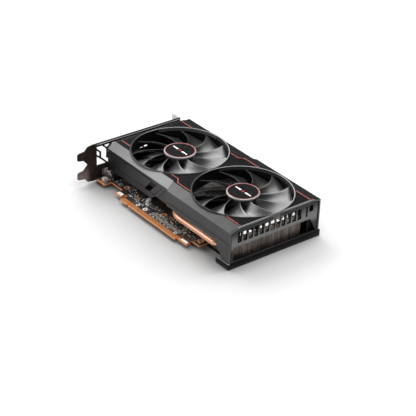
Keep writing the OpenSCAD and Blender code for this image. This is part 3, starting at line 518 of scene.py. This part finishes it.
def make_materials():
    MATS["board"] = board_material()
    MATS["panel_black"] = panel_material()
    MATS["fins"] = fin_material()
    MATS["contacts"] = contact_material()
    MATS["bracket_paint"] = bracket_material()
    MATS["backplate_paint"] = backplate_material()
    MATS["shroud_grey"] = shroud_material()
    # cooler and chips
    finish("copper", (1.0, 0.55, 0.36), 0.34, 0.45, vary=0.06, brushed=(40, 1500, 1500), grain=0.006,
           wear=0.4, wear_to=1.1)
    finish("substrate", (0.03, 0.12, 0.07), 0.4)
    finish("silicon", (0.42, 0.44, 0.48), 0.08, 1.0, grain=0.001)
    finish("paste", (0.42, 0.43, 0.45), 0.6, grain=0.05, patch=500)
    finish("pads", (0.30, 0.34, 0.42), 0.75, grain=0.05)
    finish("chips", (0.016, 0.016, 0.018), 0.48, grain=0.03, wear_to=4)
    finish("ferrite", (0.07, 0.07, 0.075), 0.6, grain=0.06, vary=0.3, patch=700)
    finish("can_metal", (0.85, 0.85, 0.86), 0.26, 0.5, brushed=(600, 600, 5000))
    finish("ceramic_parts", (0.36, 0.27, 0.18), 0.4, patch=900, vary=0.4)
    finish("solder", (0.78, 0.77, 0.74), 0.32, 0.45, patch=900, wear_to=1.2)
    finish("label_white", (0.78, 0.77, 0.74), 0.5, vary=0.1, patch=600, wear_to=0.8)
    # ports, plugs and leads
    finish("port_steel", (0.50, 0.47, 0.44), 0.3, 0.8, brushed=(90, 3400, 3400))
    finish("silver", (0.80, 0.79, 0.76), 0.3, 0.6, patch=500, wear_to=1.2)
    finish("port_plastic", (0.012, 0.012, 0.013), 0.42, grain=0.03)
    finish("header_plastic", (0.62, 0.59, 0.52), 0.4)
    finish("plug_plastic", (0.02, 0.018, 0.017), 0.45)
    finish("lead_sheath", (0.012, 0.012, 0.012), 0.42, rounding=0.1)
    # screws and spacers
    finish("bright_steel", (0.88, 0.88, 0.89), 0.24, 0.6, grain=0.01, rounding=0.2)
    finish("dark_steel", (0.03, 0.03, 0.032), 0.36, 0.6, wear_to=5)
    finish("spacer_metal", (0.55, 0.56, 0.58), 0.32, 1.0, brushed=(600, 600, 4000))
    # top panel's strips and fans
    finish("accent_red", (0.39, 0.092, 0.078), 0.5, vary=0.25, patch=300, wear_to=1.5, spec=0.3)
    finish("fan_plastic", (0.006, 0.006, 0.0065), 0.5, grain=0.03, spec=0.2)
    finish("bearing", (0.62, 0.42, 0.18), 0.3, 1.0, brushed=(600, 600, 4000))
    finish("stator_steel", (0.42, 0.42, 0.44), 0.36, 1.0, brushed=(80, 80, 9000))
    finish("winding", (0.62, 0.24, 0.10), 0.28, 0.9, brushed=(80, 80, 6000))
    finish("drive_board", (0.02, 0.10, 0.05), 0.4, vary=0.4, patch=700)
    finish("magnet", (0.03, 0.03, 0.032), 0.6, grain=0.05)
    finish("rotor_plastic", (0.008, 0.008, 0.0083), 0.34, vary=0.15, patch=40, grain=0.002, wear=0.2,
           wear_to=4, spec=0.9, spread=0.3)
    # A pale tone for the front faces of the blades' leading edges: a painted highlight.
    finish("blade_edge", (0.13, 0.13, 0.132), 0.35, vary=0.2, wear_to=1.5)
    finish("rim_grey", (0.38, 0.38, 0.385), 0.34, 0.15, vary=0.1, wear_to=1.4)
    finish("badge_gloss", (0.008, 0.008, 0.009), 0.2, grain=0.008, fleck=0.2)
    finish("ring_red", (0.36, 0.032, 0.027), 0.45, vary=0.2, patch=500, wear_to=1.4, spec=0.2)
    finish("mark_white", (0.80, 0.80, 0.78), 0.4, vary=0.06, wear_to=0.8)


# ---------- floor ----------

FLOOR_HALF, FLOOR_DROP = 6, 0.0002           # metres
FLOOR_GLOW = 0.58


def make_floor():
    """A pale floor that gives some light of its own, so that its shadows stay soft; that light is dimmed
    near the card as painted shadow and painted reflection.
    """
    h = FLOOR_HALF
    mesh = bpy.data.meshes.new("floor")
    mesh.from_pydata([(-h, -h, 0), (h, -h, 0), (h, h, 0), (-h, h, 0)], [], [(0, 1, 2, 3)])
    floor = add("floor", mesh)
    floor.location.z = -FLOOR_DROP
    t = Tree("floor")
    t.set(Base_Color=t.mix(t.ramp(t.noise(3, 2), 0.3, 0.7), (0.30, 0.30, 0.30), (0.31, 0.31, 0.31)))
    # Painted shadow and painted reflection: the floor's light is dimmed where the card shuts in the space
    # above it and in one slanted direction.
    sky_painted_shadow = t.openness(70, (0, 0, 1))
    painted_reflection_shade = t.openness(160, (-0.22, 0.72, 0.66))
    glow_painted_shade = t.times(t.math("POWER", sky_painted_shadow, 0.9), t.math("POWER", painted_reflection_shade, 1.9))
    t.set(Roughness=0.3, Emission_Strength=FLOOR_GLOW)
    t.set(Emission_Color=t.mix(glow_painted_shade, BLACK, (1.0, 0.995, 0.99)))
    mesh.materials.append(t.mat)


# ---------- building pieces ----------


def piece(name, bm, body, slot, material=None, smooth=40, second=None):
    """Makes an object that rides on a body; faces of material index 1 get the second material."""
    mesh = bpy.data.meshes.new(name)
    bmesh.ops.recalc_face_normals(bm, faces=bm.faces)
    bm.to_mesh(mesh)
    bm.free()
    for p in mesh.polygons:
        p.use_smooth = smooth is not None
    if smooth is not None:
        mesh.set_sharp_from_angle(angle=math.radians(smooth))
    mesh.materials.append(MATS[material or slot])
    if second:
        mesh.materials.append(MATS[second])
    obj = add(name, mesh)
    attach(obj, body)
    return obj


def skin_over(bm, loops):
    """Joins successive loops of vertices with quads and closes both ends."""
    n = len(loops[0])
    for a, b in zip(loops, loops[1:]):
        for k in range(n):
            j = (k + 1) % n
            bm.faces.new((a[k], a[j], b[j], b[k]))
    bm.faces.new(loops[0][::-1])
    bm.faces.new(loops[-1])


def lathe(bm, profile, centre, steps=96):
    """Turns a closed profile of (radius, height) about a vertical axis."""
    loops = []
    for k in range(steps):
        a = 2 * math.pi * k / steps
        loops.append([bm.verts.new(pos(centre[0] + r * math.cos(a), centre[1] + r * math.sin(a), z))
                      for r, z in profile])
    n = len(profile)
    for k in range(steps):
        a, b = loops[k], loops[(k + 1) % steps]
        for i in range(n):
            j = (i + 1) % n
            bm.faces.new((a[i], b[i], b[j], a[j]))


def slab(bm, outline, z0, z1, chamfer=0.0):
    """A plate with an outline in X and Y; its upper edge is chamfered."""
    layers = [(0.0, z0), (0.0, z1 - chamfer), (chamfer, z1)] if chamfer else [(0.0, z0), (0.0, z1)]
    centre = sum((Vector(p) for p in outline), Vector((0, 0))) / len(outline)
    loops = []
    for inset, z in layers:
        ring = []
        for p in outline:
            p = Vector(p)
            step = centre - p
            p = p + step.normalized() * min(inset, step.length * 0.5)
            ring.append(bm.verts.new(pos(p.x, p.y, z)))
        loops.append(ring)
    skin_over(bm, loops)


def plate(bm, x, y, width, depth, z0, z1):
    slab(bm, [(x, y), (x + width, y), (x + width, y + depth), (x, y + depth)], z0, z1)


def block(bm, low, high, chamfer):
    """A box with chamfered upper edges."""
    (x0, y0, z0), (x1, y1, z1) = low, high
    loops = []
    for inset, z in ((0, z0), (0, z1 - chamfer), (chamfer, z1)):
        loops.append([bm.verts.new(pos(x, y, z)) for x, y in (
            (x0 + inset, y0 + inset), (x1 - inset, y0 + inset),
            (x1 - inset, y1 - inset), (x0 + inset, y1 - inset))])
    skin_over(bm, loops)


# ---------- fans ----------

BLADES, ROOT_R, TIP_R = 11, 14.6, 44.5
HIGH_Z, LOW_Z = 38.3, 29.0     # the heights that a blade stays between
FALL = HIGH_Z - LOW_Z - 1      # its drop along the chord, with 1 mm left for its thickness
TIP_DROP = 0.6                 # how much lower a blade's tip stands than its root
SWEEP = 23                     # degrees between a leading edge's root and its tip
ROOT_CHORD, MORE_CHORD = 25, 5               # degrees that a blade spans at its root, and its tip adds
BLADE_THICK, EDGE_THICK = 1.05, 0.18         # what the middle has beyond an edge, and an edge
ROLL_U = 0.08                  # share of a blade's chord that its rolled leading edge takes
ROLL_DROP, ROLL_THICK = 0.45, 0.7            # how far the roll bends down, and its own thickness
CHORD_U = [0, 0.02, 0.045] + [ROLL_U + (1 - ROLL_U) * j / 11 for j in range(12)]
BLADE_STEPS = 16

# Closed profiles of (radius, height).
HUB = [(12.95, 28.05), (13.3, 28.0), (14.9, 28.0), (15.15, 28.25), (15.2, 28.7), (15.2, 37.8),
       (14.3, 39.1), (0.9, 39.1), (0.9, 38.25), (2.9, 37.7), (12.9, 37.7)]
BADGE = [(13.6, 39.1), (13.64, 39.3), (13.5, 39.46), (13.2, 39.5), (9, 39.49), (4, 39.48),
         (0.05, 39.48), (0.05, 39.1)]
RED_RING = [(13.75, 39.15), (14.25, 39.15), (14.28, 39.5), (14.2, 39.66), (14.02, 39.7),
            (13.84, 39.66), (13.75, 39.5)]
HUB_RIM = [(14.34, 39.15), (15.24, 37.9), (15.3, 38.3), (15.22, 38.9), (14.95, 39.4), (14.7, 39.62),
           (14.5, 39.66), (14.36, 39.55)]
RING_STEPS = 120

# The badge's marks: bars of (start, width, height) on each side of a diamond.
BADGE_BARS = [(2.9, 1.7, 2.0), (5.1, 1.7, 2.0), (7.3, 3.2, 1.3)]
BAR_LEAN = 0.5
BADGE_GEM = [(-1.9, 0), (0, -1.5), (1.9, 0), (0, 1.5)]
MARKS_LOW, BARS_TOP, GEM_TOP = 39.4, 39.56, 39.58
BARS_CHAMFER, GEM_CHAMFER = 0.03, 0.08


def blade_surface(o, u, below):
    """A point of a blade: o runs from hub to tip, u from the leading to the trailing edge."""
    lead = SWEEP * (0.75 * o + 0.25 * o * o - 1)
    chord = ROOT_CHORD + MORE_CHORD * o
    a = math.radians(lead - chord * u)
    r = ROOT_R + (TIP_R - ROOT_R) * o
    z = HIGH_Z - TIP_DROP * o - FALL * (1.5 * u - 0.5 * u * u)
    return r, a, z - below


def blade(bm, axis, turn):
    loops = []
    for i in range(BLADE_STEPS + 1):
        o = i / BLADE_STEPS
        top, low = [], []
        for u in CHORD_U:
            thick = BLADE_THICK * math.sqrt(max(0.0, 1 - (2 * abs(u - 0.5)) ** 6)) + EDGE_THICK
            roll = ROLL_DROP * (1 - min(1, u / ROLL_U)) ** 2
            for row, below in ((top, roll), (low, max(thick, roll + ROLL_THICK))):
                r, a, z = blade_surface(o, u, below)
                row.append(bm.verts.new(pos(axis[0] + r * math.cos(a + turn),
                                            axis[1] + r * math.sin(a + turn), z)))
        loops.append(top + low[::-1])
    made = len(bm.faces)
    skin_over(bm, loops)
    bm.faces.ensure_lookup_table()
    around = len(loops[0])
    # The leading edges' fronts take the pale second finish as a painted highlight.
    for k in range(BLADE_STEPS):             # the last face of each ring is the leading edge's front
        bm.faces[made + k * around + around - 1].material_index = 1


def make_rotor(i):
    axis = FAN_AXIS[i - 1]
    bm = bmesh.new()
    lathe(bm, HUB, axis)
    turn = math.radians(FAN_TURN[i - 1])
    for k in range(BLADES):
        blade(bm, axis, turn + 2 * math.pi * k / BLADES)
    rotor = piece("rotor_%d" % i, bm, "fan_%d" % i, "rotor_plastic", smooth=50, second="blade_edge")
    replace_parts(rotor, "fan_%d_rotor" % i)


def make_badge(i):
    """Gloss disc with a low dished face, and plain bars each side of a small diamond."""
    axis = FAN_AXIS[i - 1]
    bm = bmesh.new()
    lathe(bm, BADGE, axis)
    disc = piece("badge_%d" % i, bm, "fan_%d" % i, "badge_gloss")
    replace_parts(disc, "fan_%d_badge" % i)
    bars = bmesh.new()
    for side in (-1, 1):
        for start, width, tall in BADGE_BARS:
            half, lean = tall / 2, BAR_LEAN * tall / 2
            outline = [(start, -half), (start + width, -half), (start + width + lean, half),
                       (start + lean, half)]
            slab(bars, [(axis[0] + side * x, axis[1] + side * y) for x, y in outline],
                 MARKS_LOW, BARS_TOP, BARS_CHAMFER)
    piece("badge_bars_%d" % i, bars, "fan_%d" % i, "badge_gloss", "mark_white", None)
    gem = bmesh.new()
    slab(gem, [(axis[0] + x, axis[1] + y) for x, y in BADGE_GEM], MARKS_LOW, GEM_TOP,
         GEM_CHAMFER)
    piece("badge_gem_%d" % i, gem, "fan_%d" % i, "ring_red", None, None)


def make_ring(i):
    """The red ring round the badge, and the pale rim of the hub outside it."""
    bm = bmesh.new()
    lathe(bm, RED_RING, FAN_AXIS[i - 1], RING_STEPS)
    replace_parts(piece("hub_ring_%d" % i, bm, "fan_%d" % i, "ring_red"), "fan_%d_ring" % i)
    bm = bmesh.new()
    lathe(bm, HUB_RIM, FAN_AXIS[i - 1], RING_STEPS)
    piece("hub_rim_%d" % i, bm, "fan_%d" % i, "rotor_plastic", "rim_grey")


# ---------- small parts on the board ----------

# Places that other parts of the card take: (x, y, radius).
KEEP_CLEAR = [(34.1, 17.6, 4.2), (94.3, 16.5, 4.2), (149.4, 16.7, 4.2), (8.9, 9.4, 4.4), (71, 16.2, 3.8),
              (56, 21, 4), (29, 24, 3.6), (83, 12.2, 3), (139, 20, 4), (118, 17.8, 3), (13.6, 21.6, 4)]
# The free areas along the board's front: (x0, y0, x1, y1).
BOARD_STRIP = [(5.6, 4.6, 16.6, 21), (17, 13, 46, 24), (36.5, 4.4, 43.6, 7.6), (45, 9.6, 134, 21),
               (135.4, 3.4, 143.6, 9), (134, 11.4, 154.4, 21)]
# Small parts: (length, width, height).
CHIP_SIZES = [(1.6, 0.8, 0.7), (1.0, 0.55, 0.45), (2.0, 1.2, 0.85), (1.6, 0.8, 0.5)]
CHIP_GRID = 0.7
CHIP_REACH, CHIP_GAP = 0.62, 0.25            # the space a part keeps: a share of its length, and more
# A metal cap's share of its part's length, the share of the cap that the body leaves free, and the
# cap's share of the height.
CAP, CAP_FREE, CAP_HEIGHT = 0.24, 0.9, 0.96
CHIP_CHAMFER, CAP_CHAMFER, LARGE_CHAMFER = 0.06, 0.08, 0.12
CHIPS_PER_MM2, LINES_PER_MM2 = 1.3, 0.11     # how many are tried on a square millimetre
# Two rows of like parts beside the edge connector, and the band that they keep clear.
ROW_X, ROW_PITCH, ROW_CHIPS, ROW_Y = 86.4, 2.2, 20, (8.1, 10.2)
ROW_CHIP, ROW_MIDDLE, ROW_REACH = (1.5, 0.75, 0.6), 9.1, 1.9
# Large chips (x, y, width, depth, height) and blank labels (low corner, high corner).
LARGE_CHIPS = [(24.5, 19.5, 3, 3, 0.9), (49.5, 13.6, 2.9, 2.9, 0.9), (64, 12.6, 3, 2.6, 1.0)]
LABELS = [((36.3, 4.3), (43.5, 8.1)), ((137.2, 3.3), (145.8, 6.0))]
LABEL_THICK = 0.06
SEED = 7
# A soldered ring round a hole: (radius, height above the board).
PAD = [(0.4, 0.0), (1.5, 0.0), (1.5, 0.5), (1.3, 0.7), (0.4, 0.72)]
PAD_PLACES = [(10, 16.5), (52, 17.4), (57.4, 13.2), (66.5, 19.3), (103, 18.6), (126.5, 17.2)]
# Printed rings (x, y, radius, inner radius), blots (x, y, width, depth) and the thickness of ink.
INK_RINGS = [(76.6, 8.3, 2.5, 1.1), (49, 11.2, 1.2, 0.6), (60.5, 10.8, 1.2, 0.6), (66.4, 7.2, 1.9, 1.1),
             (125.4, 6.6, 1.7, 0.9), (110, 14, 1.1, 0.5), (130.5, 13.2, 1.3, 0.6), (24.5, 15.6, 1.2, 0.6)]
INK_BLOTS = [(64.2, 9.4, 2.6, 0.8), (68.6, 9.8, 0.9, 2.4), (87.6, 12.6, 2.4, 0.9), (91.2, 12.9, 1.0, 2.0),
             (93.4, 12.2, 2.2, 0.8), (97.2, 12.6, 0.9, 1.8), (85.6, 6.0, 2.2, 0.7), (90.4, 6.0, 2.8, 0.6),
             (96.0, 6.1, 2.4, 0.6), (101.6, 6.0, 2.8, 0.6), (107.4, 6.1, 2.2, 0.6),
             (112.6, 6.0, 2.6, 0.6)]
INK, INK_THIN = 0.05, 0.04
LINE_WIDTH, LINE_LENGTH, LINE_ROOM = 0.24, (0.9, 2.2), 2.4
# The clip beside the video connector: its path, half thickness, lower and upper edge, and how much
# each edge falls with every point of the path.
CLIP_PATH = [(14.6, 13.4), (12, 13.9), (9.2, 14.6), (6.6, 15.3), (4.2, 16.2), (2.2, 17.6), (1.0, 18.3),
             (0.8, 17.4), (1.4, 15.8), (2.6, 14.0), (4.2, 12.7)]
CLIP_HALF, CLIP_LOW, CLIP_HIGH = 0.18, 9.2, 11.4
CLIP_LOW_FALL, CLIP_HIGH_FALL = 0.1, 0.06


def free_of(spots, x, y, reach):
    return all(math.hypot(x - a, y - b) > r + reach for a, b, r in spots)


def ink_marks(bm, rng, top):
    """Plain print between the parts: rings, blots and short lines."""
    for x, y, r, inner in INK_RINGS:
        lathe(bm, [(inner, top), (r, top), (r, top + INK), (inner, top + INK)], (x, y), 24)
    for x, y, width, depth in INK_BLOTS:
        plate(bm, x, y, width, depth, top, top + INK)
    for x0, y0, x1, y1 in BOARD_STRIP:
        for _ in range(int((x1 - x0) * (y1 - y0) * LINES_PER_MM2)):
            x, y = rng.uniform(x0, x1 - LINE_ROOM), rng.uniform(y0, y1 - LINE_ROOM)
            if rng.random() < 0.5:
                width, depth = rng.uniform(*LINE_LENGTH), LINE_WIDTH
            else:
                width, depth = LINE_WIDTH, rng.uniform(*LINE_LENGTH)
            plate(bm, x, y, width, depth, top, top + INK_THIN)


def make_port_clip():
    """A rolled strip of sheet metal along the video connector's board side."""
    bm = bmesh.new()
    loops = []
    for k, (x, y) in enumerate(CLIP_PATH):
        a, b = CLIP_PATH[max(k - 1, 0)], CLIP_PATH[min(k + 1, len(CLIP_PATH) - 1)]
        across = Vector((a[1] - b[1], b[0] - a[0])).normalized() * CLIP_HALF
        low, high = CLIP_LOW - CLIP_LOW_FALL * k, CLIP_HIGH - CLIP_HIGH_FALL * k
        loops.append([bm.verts.new(pos(x + s * across.x, y + s * across.y, z))
                      for s, z in ((-1, low), (1, low), (1, high), (-1, high))])
    skin_over(bm, loops)
    piece("port_clip", bm, "card", "port_steel", "silver")


def chip(body, caps, x, y, along, length, width, tall):
    """A two-ended part: its body, and a metal cap over each end."""
    hx, hy = (length / 2, width / 2) if along else (width / 2, length / 2)
    cap = length * CAP
    free = cap * CAP_FREE
    cx, cy = (free, 0) if along else (0, free)
    x0, y0, x1, y1 = x - hx, y - hy, x + hx, y + hy
    block(body, (x0 + cx, y0 + cy, BOARD_TOP), (x1 - cx, y1 - cy, BOARD_TOP + tall), CHIP_CHAMFER)
    if along:
        ends = ((x0, y0, x0 + cap, y1), (x1 - cap, y0, x1, y1))
    else:
        ends = ((x0, y0, x1, y0 + cap), (x0, y1 - cap, x1, y1))
    for a, b, c, d in ends:
        block(caps, (a, b, BOARD_TOP), (c, d, BOARD_TOP + tall * CAP_HEIGHT), CAP_CHAMFER)


def make_small_parts():
    rng = random.Random(SEED)
    sets = {k: bmesh.new() for k in ("ceramic", "dark", "metal", "white", "gold")}
    taken = list(KEEP_CLEAR)
    top = BOARD_TOP
    for y in ROW_Y:
        for k in range(ROW_CHIPS):
            chip(sets["ceramic"], sets["metal"], ROW_X + ROW_PITCH * k, y, False, *ROW_CHIP)
    taken += [(ROW_X + ROW_PITCH * k, ROW_MIDDLE, ROW_REACH) for k in range(ROW_CHIPS)]
    for x0, y0, x1, y1 in BOARD_STRIP:
        area = (x1 - x0) * (y1 - y0)
        for _ in range(int(area * CHIPS_PER_MM2)):
            length, width, tall = rng.choice(CHIP_SIZES)
            x = round(rng.uniform(x0, x1) / CHIP_GRID) * CHIP_GRID
            y = round(rng.uniform(y0, y1) / CHIP_GRID) * CHIP_GRID
            reach = length * CHIP_REACH + CHIP_GAP
            inside = x0 + reach < x < x1 - reach and y0 + reach < y < y1 - reach
            if not inside or not free_of(taken, x, y, reach):
                continue
            taken.append((x, y, reach))
            along = rng.random() < 0.5
            kind = rng.choice(("ceramic", "ceramic", "dark"))
            chip(sets[kind], sets["metal"], x, y, along, length, width, tall)
    for x, y, w, d, tall in LARGE_CHIPS:
        block(sets["dark"], (x - w / 2, y - d / 2, top), (x + w / 2, y + d / 2, top + tall),
              LARGE_CHAMFER)
    for low, high in LABELS:
        slab(sets["white"], [low, (high[0], low[1]), high, (low[0], high[1])], top,
             top + LABEL_THICK)
    ink_marks(sets["white"], rng, top)
    for place in PAD_PLACES:
        lathe(sets["gold"], [(r, top + h) for r, h in PAD], place, 20)
    first = piece("board_ceramics", sets["ceramic"], "card", "ceramic_parts", None, None)
    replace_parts(first, "small_components")
    piece("board_resistors", sets["dark"], "card", "chips", None, None)
    piece("board_solder", sets["metal"], "card", "bright_steel", "solder", None)
    piece("board_labels", sets["white"], "card", "header_plastic", "label_white", None)
    piece("board_pads", sets["gold"], "card", "contacts", None)


# ---------- the scene ----------

make_camera()
make_world()
for values in SOFTBOXES:
    make_softbox(*values)
make_floor()
make_materials()

slot_of = {s["node"]: s["material_slot"] for s in frame["record"]["subparts"]}
for node, obj in frame["nodes"].items():
    obj.data.materials.clear()
    obj.data.materials.append(MATS[slot_of[node]])

for n in (1, 2):
    make_rotor(n)
    make_badge(n)
    make_ring(n)
make_small_parts()
make_port_clip()

bpy.context.scene.view_settings.view_transform = "Standard"
